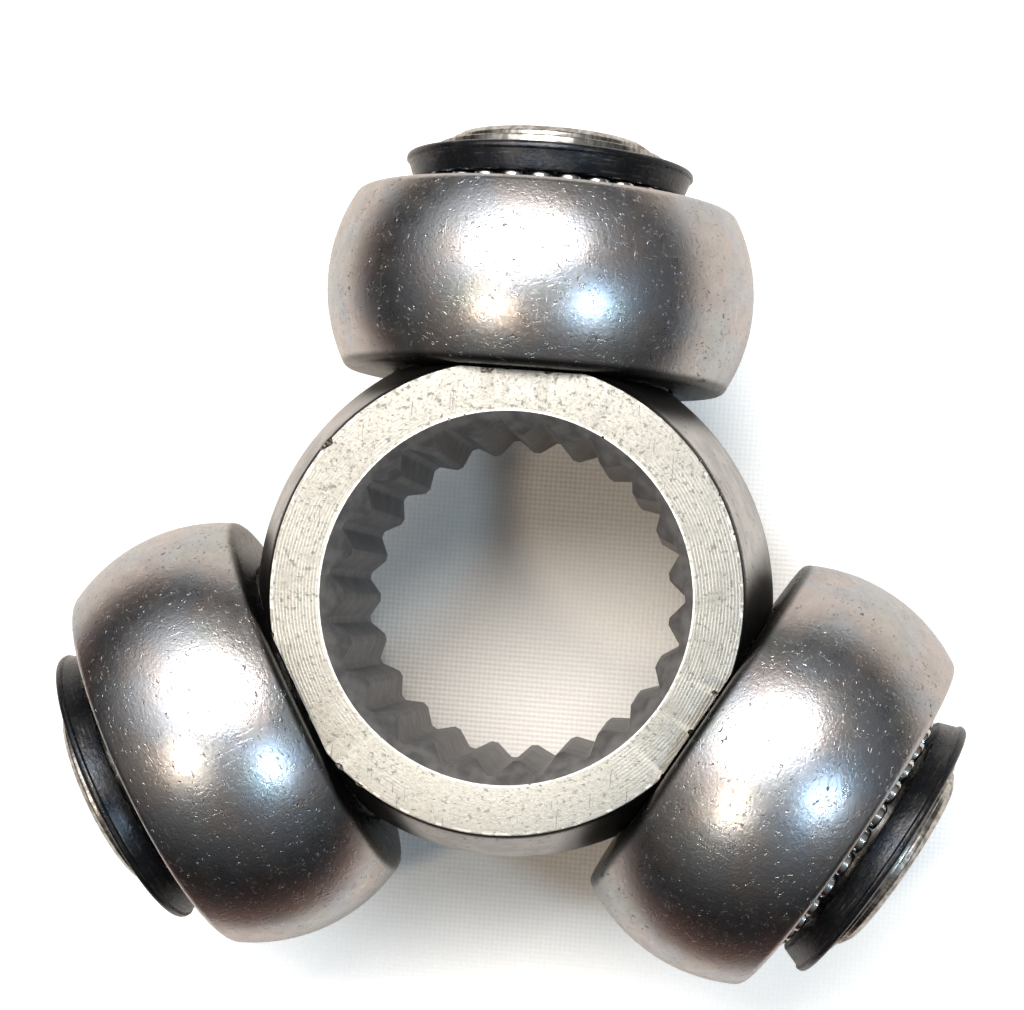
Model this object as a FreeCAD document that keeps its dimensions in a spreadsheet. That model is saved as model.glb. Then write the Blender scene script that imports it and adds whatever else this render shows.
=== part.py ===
import FreeCAD, Part
import math
import os
import Sketcher

# Tripod of a plunging constant velocity joint: a splined spider whose three
# journals each carry a barrel roller on a full row of needles, held on by a
# tapered retaining ring and a circlip.
#
# Millimetres. The origin is the centre of the hub, +Z runs along the splined
# bore towards the turned front face, and +Y runs along journal 1. Journals 2
# and 3 follow at thirds of a turn, anticlockwise seen from the front.

dimensions = {
    # hub: a barrel-sided forging, turned at both faces
    "hubHeight": 25.0,
    "faceRadius": 16.75,
    "waistRadius": 19.1,
    "faceBreak": 0.2,
    "flatDistance": 16.05,
    # spline: 23 teeth of module 1, with flanks at nearly 45 degrees
    "splineTeeth": 23,
    "splineTipRadius": 11.5,
    "splineRootRadius": 12.6,
    "spaceTipWidth": 2.65,
    "spaceRootWidth": 0.5,
    "mouthRadius": 13.15,
    "leadInDepth": 2.3,
    "backLeadIn": 1.15,
    # journals, measured from the hub's axis
    "journals": 3,
    "journalRadius": 8.1,
    "journalTipRadius": 7.6,
    "journalRoot": 13.4,
    "journalEnd": 34.42,
    "journalEndBreak": 0.75,
    "journalEndSlope": 0.45,
    "shoulderRadius": 9.9,
    "shoulderDistance": 16.15,
    "grooveRadius": 7.1,
    "grooveStart": 32.6,
    "grooveEnd": 33.5,
    # needles: a full complement round each journal
    "needleCount": 28,
    "needleRadius": 1.0,
    "needlePitchRadius": 9.15,
    "needleLength": 14.35,
    "needleStart": 16.22,
    # rollers: barrels that turn and slide on the needles
    "rollerRadius": 16.0,
    "rollerCrown": 13.0,
    "rollerWidth": 13.4,
    "rollerBore": 10.2,
    "rollerBoreBreak": 0.35,
    "rollerRimBreak": 0.15,
    "rollerSeat1": 22.95,
    "rollerSeat2": 23.15,
    "rollerSeat3": 22.95,
    # retaining rings: a tapered neck, then a lip that the roller can't pass;
    # each is loose by a few tenths, which its seat adds to the distances here
    "retainerBore": 8.18,
    "retainerStart": 30.65,
    "neckRadius": 10.1,
    "neckBreak": 0.12,
    "taperRadius": 10.62,
    "taperEnd": 32.08,
    "lipRadius": 10.8,
    "lipStart": 32.2,
    "lipEdge": 32.38,
    "lipRounding": 0.25,
    "seatRadius": 8.95,
    "seatDistance": 32.3,
    "seatRim": 32.92,
    "retainerSeat1": 0.0,
    "retainerSeat2": 0.3,
    "retainerSeat3": 0.3,
    # circlips: the turns set where their gaps are
    "circlipRadius": 8.6,
    "circlipBore": 7.13,
    "circlipThickness": 0.85,
    "circlipGap": 30.0,
    "circlipTurn1": 255.0,
    "circlipTurn2": 0.0,
    "circlipTurn3": 20.0,
}

needleGroups = "abcd"
cutterOvershoot = 0.5
vector = FreeCAD.Vector

document = FreeCAD.newDocument("tripod")


def makeSheet(values):
    sheet = document.addObject("Spreadsheet::Sheet", "dims")
    for row, (name, value) in enumerate(values.items(), start=1):
        sheet.set(f"A{row}", name)
        sheet.set(f"B{row}", str(value))
        sheet.setAlias(f"B{row}", name)
    document.recompute()


def makeBody(name):
    body = document.addObject("PartDesign::Body", name)
    body.Label = name
    return body


def makeSketch(body, name, plane, turn=None):
    # turn is an expression: how far the sketch is turned about its normal
    sketch = body.newObject("Sketcher::SketchObject", name)
    origin = [feature for feature in body.Origin.OriginFeatures if feature.Role == plane]
    sketch.AttachmentSupport = [(origin[0], "")]
    sketch.MapMode = "FlatFace"
    if turn:
        sketch.AttachmentOffset = FreeCAD.Placement(vector(), FreeCAD.Rotation(vector(0, 0, 1), 1))
        sketch.setExpression("AttachmentOffset.Rotation.Angle", turn)
    return sketch


def constrain(sketch, kind, *target, size):
    # target ends in a geometry and its point; size is an expression
    value = float(sketch.evalExpression(size))
    number = sketch.addConstraint(Sketcher.Constraint(kind, *target, value))
    sketch.setExpression(f"Constraints[{number}]", size)


def pin(sketch, edge, point, x, y):
    origin, start = -1, 1
    for kind, axis, size in (("DistanceX", -2, x), ("DistanceY", -1, y)):
        if size == "0":
            sketch.addConstraint(Sketcher.Constraint("PointOnObject", edge, point, axis))
        else:
            constrain(sketch, kind, origin, start, edge, point, size=size)


def arcBetween(start, end, radius):
    # centre on the left of the way from start to end if radius is positive
    chord = end - start
    rise = math.sqrt(radius**2 - (chord.Length / 2) ** 2)
    left = vector(-chord.y, chord.x, 0).normalize()
    centre = (start + end) / 2 + left * math.copysign(rise, radius)
    first, last = (start, end) if radius > 0 else (end, start)
    angles = [math.atan2(place.y - centre.y, place.x - centre.x) for place in (first, last)]
    circle = Part.Circle(centre, vector(0, 0, 1), abs(radius))
    return Part.ArcOfCircle(circle, *angles)


def drawOutline(sketch, corners):
    # A closed outline. Each corner is (x, y), or (x, y, radius) where an arc
    # leads to the next one; "-" before the radius turns the arc clockwise.
    places = [vector(*(float(sketch.evalExpression(size)) for size in corner[:2]), 0) for corner in corners]
    ends = []
    for index, corner in enumerate(corners):
        start, end = places[index], places[(index + 1) % len(places)]
        if len(corner) == 2:
            sketch.addGeometry(Part.LineSegment(start, end))
            ends.append((1, 2))
            continue
        clockwise = corner[2].startswith("-")
        radius = abs(float(sketch.evalExpression(corner[2])))
        sketch.addGeometry(arcBetween(start, end, -radius if clockwise else radius))
        ends.append((2, 1) if clockwise else (1, 2))
    for index, corner in enumerate(corners):
        following = (index + 1) % len(corners)
        joint = (index, ends[index][1], following, ends[following][0])
        sketch.addConstraint(Sketcher.Constraint("Coincident", *joint))
        pin(sketch, index, ends[index][0], *corner[:2])
        if len(corner) == 3:
            constrain(sketch, "Radius", index, size=corner[2].lstrip("-"))


def revolve(body, name, sketch):
    feature = body.newObject("PartDesign::Revolution", name)
    feature.Profile = sketch
    feature.ReferenceAxis = (sketch, ["V_Axis"])
    feature.Angle = 360
    document.recompute()
    return feature


def extrude(body, kind, name, sketch, length):
    feature = body.newObject(f"PartDesign::{kind}", name)
    feature.Profile = sketch
    feature.SideType = "Symmetric"
    feature.setExpression("Length", length)
    document.recompute()
    if kind == "Pocket" and feature.Shape.Volume >= feature.BaseFeature.Shape.Volume:
        raise RuntimeError(f"{name} cuts nothing")
    return feature


def repeat(body, name, feature, axis, count, spacing):
    pattern = body.newObject("PartDesign::PolarPattern", name)
    pattern.Originals = [feature]
    pattern.Axis = axis
    pattern.Mode = "Spacing"
    pattern.setExpression("Offset", spacing)
    pattern.setExpression("Occurrences", count)
    body.Tip = pattern
    document.recompute()
    return pattern


def placeOnJournal(body, journal, along="0"):
    # local +Y of the body becomes the journal's axis
    turn = (journal - 1) * 360 / dimensions["journals"]
    body.Placement = FreeCAD.Placement(vector(), FreeCAD.Rotation(vector(0, 0, 1), turn))
    body.setExpression("Placement.Base.x", f"-({along}) * sin({turn} deg)")
    body.setExpression("Placement.Base.y", f"({along}) * cos({turn} deg)")


def hubOutline():
    waist = "((dims.hubHeight / 2)^2 + (dims.waistRadius - dims.faceRadius)^2)"
    barrel = f"{waist} / (2 * (dims.waistRadius - dims.faceRadius))"
    front, back = "dims.hubHeight / 2", "-dims.hubHeight / 2"
    return [
        ("dims.splineTipRadius", f"{back} + dims.backLeadIn"),
        ("dims.splineTipRadius + dims.backLeadIn", back),
        ("dims.faceRadius - dims.faceBreak", back),
        ("dims.faceRadius", f"{back} + dims.faceBreak", barrel),
        ("dims.faceRadius", f"{front} - dims.faceBreak"),
        ("dims.faceRadius - dims.faceBreak", front),
        ("dims.mouthRadius", front),
        ("dims.splineRootRadius", f"{front} - (dims.mouthRadius - dims.splineRootRadius)"),
        ("dims.splineTipRadius", f"{front} - dims.leadInDepth"),
    ]


def flatOutline():
    # a milling cut as wide as the hub, outside the flat's plane
    near, far = "dims.flatDistance", "2 * dims.waistRadius"
    return [
        ("dims.waistRadius", near),
        ("dims.waistRadius", far),
        ("-dims.waistRadius", far),
        ("-dims.waistRadius", near),
    ]


def toothSpaceOutline():
    # straight flanks, carried on inside the tips, and a root on its circle
    slope = "(dims.spaceTipWidth - dims.spaceRootWidth) / 2 / (dims.splineRootRadius - dims.splineTipRadius)"
    mouth = f"dims.spaceTipWidth / 2 + {cutterOvershoot} * {slope}"
    root = "sqrt(dims.splineRootRadius^2 - (dims.spaceRootWidth / 2)^2)"
    inside = f"dims.splineTipRadius - {cutterOvershoot}"
    return [
        (mouth, inside),
        ("dims.spaceRootWidth / 2", root, "dims.splineRootRadius"),
        ("-dims.spaceRootWidth / 2", root),
        (f"-({mouth})", inside),
    ]


def journalOutline():
    end, tip = "dims.journalEnd", "dims.journalTipRadius"
    return [
        ("0", "dims.journalRoot"),
        ("dims.shoulderRadius", "dims.journalRoot"),
        ("dims.shoulderRadius", "dims.shoulderDistance"),
        ("dims.journalRadius", "dims.shoulderDistance"),
        ("dims.journalRadius", "dims.grooveStart"),
        ("dims.grooveRadius", "dims.grooveStart"),
        ("dims.grooveRadius", "dims.grooveEnd"),
        (tip, "dims.grooveEnd"),
        (tip, f"{end} - dims.journalEndSlope"),
        (f"{tip} - dims.journalEndBreak", end),
        ("0", end),
    ]


def rollerOutline():
    # centred on the roller, with the bore's edges and the rims broken
    half, crown = "dims.rollerWidth / 2", "dims.rollerCrown"
    shoulder = f"{half} - dims.rollerRimBreak"
    rim = f"dims.rollerRadius - {crown} + sqrt({crown}^2 - ({shoulder})^2)"
    bore, edge = "dims.rollerBore", "dims.rollerBoreBreak"
    return [
        (bore, f"-({half} - {edge})"),
        (f"{bore} + {edge}", f"-{half}"),
        (f"{rim} - dims.rollerRimBreak", f"-{half}"),
        (rim, f"-({shoulder})", crown),
        (rim, shoulder),
        (f"{rim} - dims.rollerRimBreak", half),
        (f"{bore} + {edge}", half),
        (bore, f"{half} - {edge}"),
    ]


def retainerOutline():
    return [
        ("dims.retainerBore", "dims.retainerStart"),
        ("dims.neckRadius - dims.neckBreak", "dims.retainerStart"),
        ("dims.neckRadius", "dims.retainerStart + dims.neckBreak"),
        ("dims.taperRadius", "dims.taperEnd"),
        ("dims.lipRadius", "dims.lipStart"),
        ("dims.lipRadius", "dims.lipEdge", "dims.lipRounding"),
        ("dims.lipRadius - dims.lipRounding", "dims.lipEdge + dims.lipRounding"),
        ("dims.seatRadius", "dims.seatRim"),
        ("dims.seatRadius", "dims.seatDistance"),
        ("dims.retainerBore", "dims.seatDistance"),
    ]


def circlipOutline():
    # an open ring, drawn in the plane across the journal, the gap below
    half = "dims.circlipGap / 2 * 1 deg"
    outer, inner = "dims.circlipRadius", "dims.circlipBore"
    return [
        (f"{outer} * sin({half})", f"-{outer} * cos({half})", outer),
        ("0", outer, outer),
        (f"-{outer} * sin({half})", f"-{outer} * cos({half})"),
        (f"-{inner} * sin({half})", f"-{inner} * cos({half})", f"-{inner}"),
        ("0", inner, f"-{inner}"),
        (f"{inner} * sin({half})", f"-{inner} * cos({half})"),
    ]


def makeSpider():
    body = makeBody("spider")
    zAxis = ([feature for feature in body.Origin.OriginFeatures if feature.Role == "Z_Axis"][0], [""])
    thirds = "360 deg / dims.journals"

    hub = makeSketch(body, "hub_outline", "XZ_Plane")
    drawOutline(hub, hubOutline())
    revolve(body, "hub", hub)

    flat = makeSketch(body, "flat_outline", "XY_Plane")
    drawOutline(flat, flatOutline())
    cut = extrude(body, "Pocket", "flat", flat, "2 * dims.hubHeight")
    repeat(body, "flats", cut, zAxis, "dims.journals", thirds)

    space = makeSketch(body, "space_outline", "XY_Plane", "180 deg / dims.splineTeeth")
    drawOutline(space, toothSpaceOutline())
    cut = extrude(body, "Pocket", "tooth_space", space, "2 * dims.hubHeight")
    repeat(body, "spline", cut, zAxis, "dims.splineTeeth", "360 deg / dims.splineTeeth")

    journal = makeSketch(body, "journal_outline", "XY_Plane")
    drawOutline(journal, journalOutline())
    arm = revolve(body, "journal", journal)
    repeat(body, "journals", arm, zAxis, "dims.journals", thirds)
    return body


def makeRoller(journal):
    body = makeBody(f"roller_{journal}")
    sketch = makeSketch(body, f"roller_outline_{journal}", "XY_Plane")
    drawOutline(sketch, rollerOutline())
    revolve(body, f"barrel_{journal}", sketch)
    placeOnJournal(body, journal, f"dims.rollerSeat{journal}")
    return body


def makeNeedles(journal, group):
    # one group is a quarter of the row round a journal
    name = f"needles_{journal}{needleGroups[group]}"
    body = makeBody(name)
    share = 360 / len(needleGroups)
    sketch = makeSketch(body, f"{name}_section", "XZ_Plane", f"{group * share} deg")
    sketch.addGeometry(Part.Circle(vector(1, 0, 0), vector(0, 0, 1), dimensions["needleRadius"]))
    pin(sketch, 0, 3, "dims.needlePitchRadius", "0")
    constrain(sketch, "Radius", 0, size="dims.needleRadius")
    needle = extrude(body, "Pad", f"{name}_first", sketch, "dims.needleLength")
    spacing = "360 deg / dims.needleCount"
    count = f"dims.needleCount / {len(needleGroups)}"
    repeat(body, f"{name}_row", needle, (sketch, ["N_Axis"]), count, spacing)
    placeOnJournal(body, journal, "dims.needleStart + dims.needleLength / 2")
    return body


def makeRetainer(journal):
    body = makeBody(f"retainer_{journal}")
    sketch = makeSketch(body, f"retainer_outline_{journal}", "XY_Plane")
    drawOutline(sketch, retainerOutline())
    revolve(body, f"ring_{journal}", sketch)
    placeOnJournal(body, journal, f"dims.retainerSeat{journal}")
    return body


def makeCirclip(journal):
    body = makeBody(f"circlip_{journal}")
    turn = f"dims.circlipTurn{journal} * 1 deg"
    sketch = makeSketch(body, f"circlip_outline_{journal}", "XZ_Plane", turn)
    drawOutline(sketch, circlipOutline())
    extrude(body, "Pad", f"clip_{journal}", sketch, "dims.circlipThickness")
    placeOnJournal(body, journal, "dims.grooveEnd - dims.circlipThickness / 2")
    return body


def checkDocument(bodies):
    for item in document.Objects:
        if "Invalid" in item.State or "Error" in item.State:
            raise RuntimeError(f"{item.Name} failed: {item.State}")
        if item.TypeId == "Sketcher::SketchObject" and not item.FullyConstrained:
            raise RuntimeError(f"{item.Name} isn't fully constrained")
    for body in bodies:
        if body.Shape.isNull() or not body.Shape.isValid():
            raise RuntimeError(f"{body.Label} has no valid shape")


def exportBodies(bodies):
    os.makedirs("parts", exist_ok=True)
    for body in bodies:
        body.Shape.exportStep(f"parts/{body.Label}.step")
        print(f"{body.Label}: {len(body.Shape.Solids)} solids, {body.Shape.Volume:.1f} mm3")


makeSheet(dimensions)
bodies = [makeSpider()]
for journal in range(1, dimensions["journals"] + 1):
    bodies.append(makeRoller(journal))
    bodies.extend(makeNeedles(journal, group) for group in range(len(needleGroups)))
    bodies.append(makeRetainer(journal))
    bodies.append(makeCirclip(journal))
document.recompute()
checkDocument(bodies)
exportBodies(bodies)
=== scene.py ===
import bpy
import math
from mathutils import Matrix, Vector


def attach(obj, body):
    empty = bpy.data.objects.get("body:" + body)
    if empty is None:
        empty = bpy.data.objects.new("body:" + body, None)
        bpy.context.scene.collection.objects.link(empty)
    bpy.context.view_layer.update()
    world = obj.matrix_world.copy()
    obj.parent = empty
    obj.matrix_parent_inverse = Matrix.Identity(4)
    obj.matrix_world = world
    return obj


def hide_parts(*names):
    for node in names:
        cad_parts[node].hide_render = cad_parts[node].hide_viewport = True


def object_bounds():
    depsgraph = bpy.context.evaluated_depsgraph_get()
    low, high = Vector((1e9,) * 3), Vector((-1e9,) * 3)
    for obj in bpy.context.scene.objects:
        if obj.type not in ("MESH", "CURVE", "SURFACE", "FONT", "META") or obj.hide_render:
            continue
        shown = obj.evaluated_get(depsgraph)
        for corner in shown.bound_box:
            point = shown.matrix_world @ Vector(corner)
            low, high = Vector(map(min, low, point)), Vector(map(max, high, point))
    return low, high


# Tripod of a CV joint: a splined hub with three journals, each with a barrel
# roller on needles, a tapered ring and a circlip. The dictionaries are in
# millimetres and degrees; everything in Blender is in metres.

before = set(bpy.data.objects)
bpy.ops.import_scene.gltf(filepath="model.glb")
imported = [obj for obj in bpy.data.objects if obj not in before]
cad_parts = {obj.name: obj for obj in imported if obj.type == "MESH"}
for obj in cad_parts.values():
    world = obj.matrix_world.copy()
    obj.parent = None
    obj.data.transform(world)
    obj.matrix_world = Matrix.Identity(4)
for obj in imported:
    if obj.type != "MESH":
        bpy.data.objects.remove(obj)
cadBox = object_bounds()
scene = bpy.context.scene
mm = 0.001
touching = 0.001 * mm
journals = (1, 2, 3)
alongZ, alongY = (0, 0, 1), (0, 1, 0)
print("frame loaded:", len(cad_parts), "nodes")


# modelling: outlines are drawn, spun or extruded, then cut and bevelled

def deselectAll():
    bpy.ops.object.select_all(action="DESELECT")


def choose(*pieces):
    deselectAll()
    for piece in pieces:
        piece.select_set(True)
    bpy.context.view_layer.objects.active = pieces[0]


def startEditing(piece):
    choose(piece)
    bpy.ops.object.mode_set(mode="EDIT")
    bpy.ops.mesh.select_mode(type="VERT")


def stopEditing():
    bpy.ops.object.mode_set(mode="OBJECT")


def pick(piece, kind, test):
    # kind is "VERT" or "EDGE"; leaves the piece in edit mode
    parts = {"VERT": piece.data.vertices, "EDGE": piece.data.edges}
    bpy.ops.mesh.select_mode(type=kind)
    bpy.ops.mesh.select_all(action="DESELECT")
    stopEditing()
    count = 0
    for part in parts[kind]:
        part.select = bool(test(part))
        count += part.select
    bpy.ops.object.mode_set(mode="EDIT")
    return count


def drawOutline(name, corners):
    # corners are points; a fourth number is the radius that rounds the corner
    deselectAll()
    bpy.ops.mesh.primitive_plane_add(size=mm, location=(0, 0, 0))
    piece = bpy.context.object
    piece.name = piece.data.name = name
    bpy.ops.object.mode_set(mode="EDIT")
    bpy.ops.mesh.select_mode(type="VERT")
    bpy.ops.mesh.merge(type="CENTER")
    places = [Vector(corner[:3]) * mm for corner in corners]
    bpy.ops.transform.translate(value=places[0])
    for before, after in zip(places, places[1:]):
        bpy.ops.mesh.extrude_vertices_move(TRANSFORM_OT_translate={"value": after - before})
    ends = (0, len(places) - 1)
    if (places[0] - places[-1]).length > touching and len(corners) > 2:
        pick(piece, "VERT", lambda vertex: vertex.index in ends)
        bpy.ops.mesh.edge_face_add()
    for rounding in sorted({corner[3] for corner in corners if len(corner) == 4}):
        spots = [place for place, corner in zip(places, corners) if corner[3:] == (rounding,)]
        pick(piece, "VERT", lambda vertex: min(
            (vertex.co - spot).length for spot in spots) < 0.1 * touching)
        bpy.ops.mesh.bevel(offset=rounding * mm, offset_type="OFFSET", segments=3, affect="VERTICES")
    bpy.ops.mesh.select_all(action="SELECT")
    return piece


def spinOutline(name, corners, axis, steps, angle=360):
    piece = drawOutline(name, corners)
    bpy.ops.mesh.spin(steps=steps, angle=math.radians(angle), center=(0, 0, 0), axis=axis)
    bpy.ops.mesh.select_all(action="SELECT")
    bpy.ops.mesh.remove_doubles(threshold=touching)
    if angle < 360:
        bpy.ops.mesh.fill_holes(sides=0)
    bpy.ops.mesh.normals_make_consistent(inside=False)
    stopEditing()
    return piece


def extrudeOutline(name, corners, depth):
    piece = drawOutline(name, corners)
    bpy.ops.mesh.edge_face_add()
    bpy.ops.mesh.extrude_region_move(TRANSFORM_OT_translate={"value": Vector(depth) * mm})
    bpy.ops.mesh.select_all(action="SELECT")
    bpy.ops.mesh.normals_make_consistent(inside=False)
    stopEditing()
    return piece


def applyPlace(piece):
    choose(piece)
    bpy.ops.object.transform_apply(location=True, rotation=True, scale=True)


def cutWith(piece, cutter):
    applyPlace(cutter)
    modifier = piece.modifiers.new("cut", "BOOLEAN")
    modifier.operation, modifier.solver, modifier.object = "DIFFERENCE", "EXACT", cutter
    choose(piece)
    bpy.ops.object.modifier_apply(modifier="cut")
    bpy.data.objects.remove(cutter)


def smoothShade(piece, angle=30):
    choose(piece)
    bpy.ops.object.shade_smooth_by_angle(angle=math.radians(angle))


def turnOf(journal):
    return math.radians(120 * (journal - 1))


def outwardAlong(journal):
    return Vector((-math.sin(turnOf(journal)), math.cos(turnOf(journal)), 0))


def copyOf(original):
    choose(original)
    bpy.ops.object.duplicate()
    return bpy.context.object


def joined(pieces):
    choose(*pieces)
    bpy.ops.object.join()
    return bpy.context.object


def copyToJournal(original, name, journal, along=0.0):
    piece = copyOf(original)
    piece.name = piece.data.name = name
    piece.rotation_euler.z = turnOf(journal)
    piece.location = outwardAlong(journal) * along * mm
    applyPlace(piece)
    return piece


def dress(piece, body, slot, finish, *nodes):
    # the hub already has its finishes, one for each kind of face
    if finish:
        piece.data.materials.append(finish)
    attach(piece, body)
    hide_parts(*nodes)


# finishes: node materials that vary with the place on the piece

class Wire:
    # a socket that varies over the surface; arithmetic on wires adds Math nodes
    def __init__(self, finish, socket):
        self.finish, self.socket = finish, socket

    def maths(self, operation, first, second):
        return self.finish.node("Math", {"operation": operation}, {0: first, 1: second})

    def __add__(self, other):
        return self.maths("ADD", self, other)

    def __sub__(self, other):
        return self.maths("SUBTRACT", self, other)

    def __rsub__(self, other):
        return self.maths("SUBTRACT", other, self)

    def __mul__(self, other):
        return self.maths("MULTIPLY", self, other)

    def __truediv__(self, other):
        return self.maths("DIVIDE", self, other)

    def __gt__(self, other):
        return self.maths("GREATER_THAN", self, other)

    __radd__, __rmul__ = __add__, __mul__


class Finish:
    def __init__(self, name, turn=0.0):
        self.material = bpy.data.materials.new(name)
        self.material.use_nodes = True
        self.tree = self.material.node_tree
        self.tree.nodes.clear()
        coordinates = self.node("TexCoord", output="Object")
        # millimetres, with the journal's axis turned onto +Y
        self.at = self.node("Mapping", {}, {"Vector": coordinates, "Rotation": (0, 0, -turn),
                                            "Scale": (1 / mm,) * 3})
        self.x, self.y, self.z = (self.node("SeparateXYZ", {}, {0: self.at}, output=axis) for axis in "XYZ")

    def node(self, kind, settings=None, sockets=None, output=0):
        node = self.tree.nodes.new("ShaderNode" + kind)
        for name, value in (settings or {}).items():
            setattr(node, name, value)
        for name, value in (sockets or {}).items():
            if isinstance(value, Wire):
                self.tree.links.new(value.socket, node.inputs[name])
            else:
                if node.inputs[name].type == "RGBA":
                    value = (*value, 1)
                node.inputs[name].default_value = value
        return Wire(self, node.outputs[output])

    def noise(self, at, scale, detail=2.0, roughness=0.5):
        # scale is in bumps a millimetre
        return self.node("TexNoise", {}, {"Vector": at, "Scale": scale, "Detail": detail,
                                          "Roughness": roughness})

    def cells(self, at, scale, output="Distance"):
        return self.node("TexVoronoi", {}, {"Vector": at, "Scale": scale}, output)

    def join(self, x, y, z):
        return self.node("CombineXYZ", {}, {0: x, 1: y, 2: z})

    def ramp(self, value, low, high):
        # smoothly from 0 at low to 1 at high
        return self.node("MapRange", {"interpolation_type": "SMOOTHSTEP"},
                         {"Value": value, "From Min": low, "From Max": high})

    def blend(self, mask, first, second):
        return self.node("Mix", {"data_type": "RGBA"}, {0: mask, 6: first, 7: second}, 2)

    def radius(self, first, second):
        return self.node("Math", {"operation": "SQRT"}, {0: first * first + second * second})

    def sine(self, value):
        return self.node("Math", {"operation": "SINE"}, {0: value})

    def end(self, shader):
        end = self.tree.nodes.new("ShaderNodeOutputMaterial")
        self.tree.links.new(shader.socket, end.inputs["Surface"])
        return self.material

    def metal(self, colour, roughness, height, metallic=1.0):
        # height is in millimetres
        relief = self.node("Bump", {}, {"Height": height, "Distance": mm, "Strength": 1.0})
        shader = self.node("BsdfPrincipled", {}, {"Base Color": colour, "Roughness": roughness,
                                                  "Metallic": metallic, "Normal": relief})
        return self.end(shader)


def scratches(finish, count, slant, fineness=9.0):
    # long thin marks: the crests of a noise that is stretched along one direction
    crest, top = 0.74 - count, 0.8 - count
    turned = finish.node("Mapping", {}, {"Vector": finish.at, "Rotation": slant,
                                         "Scale": (fineness, 0.35, 0.5)})
    return finish.ramp(finish.noise(turned, 1.0, 1.0), crest, top)


def randomShare(finish, at, scale, channel, share):
    # 1 in a random share of the cells, else 0
    return finish.node("SeparateColor", {}, {0: finish.cells(at, scale, "Color")}, channel) > 1.0 - share


def rollerSteel(turn):
    # satin ground steel with fine dents, pits, rust freckles, handling marks and rubbed specks
    finish = Finish("rollerSteel", turn)
    clouds = finish.noise(finish.at, 0.2, 3.0)
    tints = finish.noise(finish.join(finish.z, finish.x, finish.y), 0.17, 2.0)
    bloom = finish.noise(finish.at, 0.75, 4.0, 0.62)
    grain = finish.noise(finish.at, 5.0, 3.0, 0.65)
    ripples = finish.noise(finish.at, 3.1, 4.0, 0.65)
    ground = finish.noise(finish.join(finish.x * 0.5, finish.y * 7.0, finish.z * 0.5), 1.0, 2.0)
    # pits and dents sit in cells that are wobbled and stretched, so that they come out ragged
    shifts = finish.node("TexNoise", {}, {"Vector": finish.at, "Scale": 1.6}, "Color")
    wobble = finish.node("VectorMath", {"operation": "SCALE"}, {0: shifts, "Scale": 1.1})
    bent = finish.node("VectorMath", {"operation": "ADD"}, {0: finish.at, 1: wobble})
    stretched = finish.node("Mapping", {}, {"Vector": bent, "Rotation": (0.5, 0.3, 0.9),
                                            "Scale": (0.8, 3.0, 1.4)})
    patches = finish.ramp(finish.noise(finish.at, 0.26, 2.0), 0.36, 0.6)
    pitScale, dentScale = 1.15, 1.9
    pitted = randomShare(finish, stretched, pitScale, 0, 0.36)
    pits = finish.ramp(finish.cells(stretched, pitScale), 0.24, 0.12) * pitted * patches
    dented = randomShare(finish, stretched, dentScale, 1, 0.34)
    dents = finish.ramp(finish.cells(stretched, dentScale), 0.34, 0.06) * dented
    freckles = finish.ramp(finish.noise(bent, 2.8, 3.0, 0.6), 0.57, 0.72) * finish.ramp(bloom, 0.4, 0.6)
    sparks = finish.ramp(finish.noise(finish.at, 4.2, 2.0, 0.6), 0.66, 0.76)
    marks = scratches(finish, 0.035, (0.3, 0.9, 0.4)) + scratches(finish, 0.02, (1.0, 0.2, -0.5))
    # painted shade: near black on the roller's side towards the hub, for the dark gap between roller and
    # hub
    paintedShade = finish.ramp(finish.y, 17.05, 16.6)
    warmGrey, coolGrey, greenGrey = (0.53, 0.485, 0.47), (0.465, 0.49, 0.535), (0.47, 0.505, 0.47)
    duller, rust, dentBrown = (0.39, 0.37, 0.365), (0.15, 0.125, 0.105), (0.13, 0.12, 0.11)
    pitBrown, rubbed, bright = (0.05, 0.042, 0.038), (0.66, 0.65, 0.63), (0.85, 0.84, 0.82)
    # the near black of the painted shade towards the hub
    shadeBlack = (0.03, 0.028, 0.026)
    colour = finish.blend(finish.ramp(clouds, 0.4, 0.6), warmGrey, coolGrey)
    colour = finish.blend(finish.ramp(tints, 0.5, 0.66) * 0.6, colour, greenGrey)
    colour = finish.blend(finish.ramp(bloom, 0.3, 0.72) * 0.4, colour, duller)
    colour = finish.blend(freckles * 0.3, colour, rust)
    colour = finish.blend(dents * 0.6, colour, dentBrown)
    colour = finish.blend(pits * 0.75, colour, pitBrown)
    colour = finish.blend(finish.ramp(marks, 0.0, 1.0) * 0.45, colour, rubbed)
    colour = finish.blend(sparks * 0.35, colour, bright)
    # painted shade: the side towards the hub is darkened to near black
    colour = finish.blend(paintedShade * 0.85, colour, shadeBlack)
    roughness = 0.19 + bloom * 0.14 + grain * 0.06 + freckles * 0.15 + pits * 0.2 + dents * 0.22
    height = (grain * 0.013 + ripples * 0.02 + ground * 0.002 + marks * 0.003
              - dents * 0.018 - pits * 0.035 - freckles * 0.0015)
    return finish.metal(colour, roughness, height)


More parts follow.
